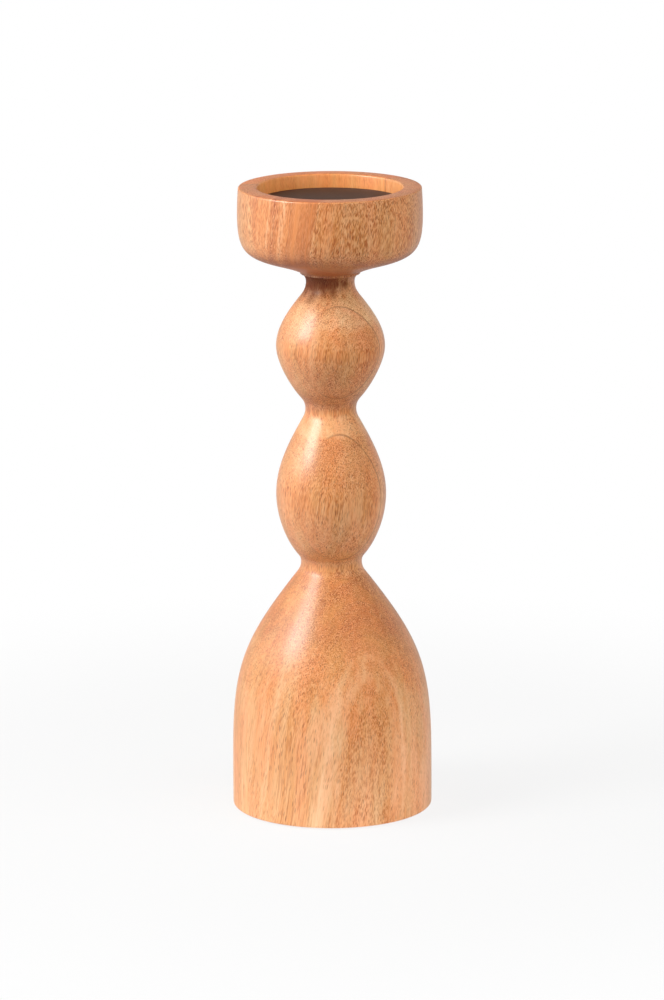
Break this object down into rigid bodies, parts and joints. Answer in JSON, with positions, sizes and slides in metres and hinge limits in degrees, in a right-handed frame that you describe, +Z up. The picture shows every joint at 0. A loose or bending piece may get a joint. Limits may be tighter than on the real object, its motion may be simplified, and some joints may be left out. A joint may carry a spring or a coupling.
{
  "type": "candlestick",
  "caption": "Turned wooden pillar candlestick with a bell base, a beaded stem and a shallow cup that holds a dark metal plate.",
  "frame": {"origin": "middle of the felt's underside, where the candlestick stands", "axes": "+Z up along the turning axis, boards lying across Y with the picture's front board towards -Y"},
  "size_m": [0.1046, 0.1046, 0.33],
  "materials": {
    "honey_wood": "satin lacquer over fine-pored honey wood",
    "dark_plate": "satin dark brown",
    "felt": "pressed wool felt"
  },
  "bodies": {
    "stand": {"felt_pad": "felt", "core_board": "honey_wood", "bell_front": "honey_wood", "bell_back": "honey_wood", "lower_bead_front": "honey_wood", "lower_bead_back": "honey_wood", "upper_bead_front": "honey_wood", "upper_bead_back": "honey_wood", "cup_front": "honey_wood", "cup_back": "honey_wood"},
    "plate": {"candle_plate": "dark_plate"}
  },
  "joints": [
    {"name": "plate_lift", "type": "slide", "parent": "stand", "child": "plate", "axis": [0, 0, 1], "range_m": [0, 0.03]}
  ]
}
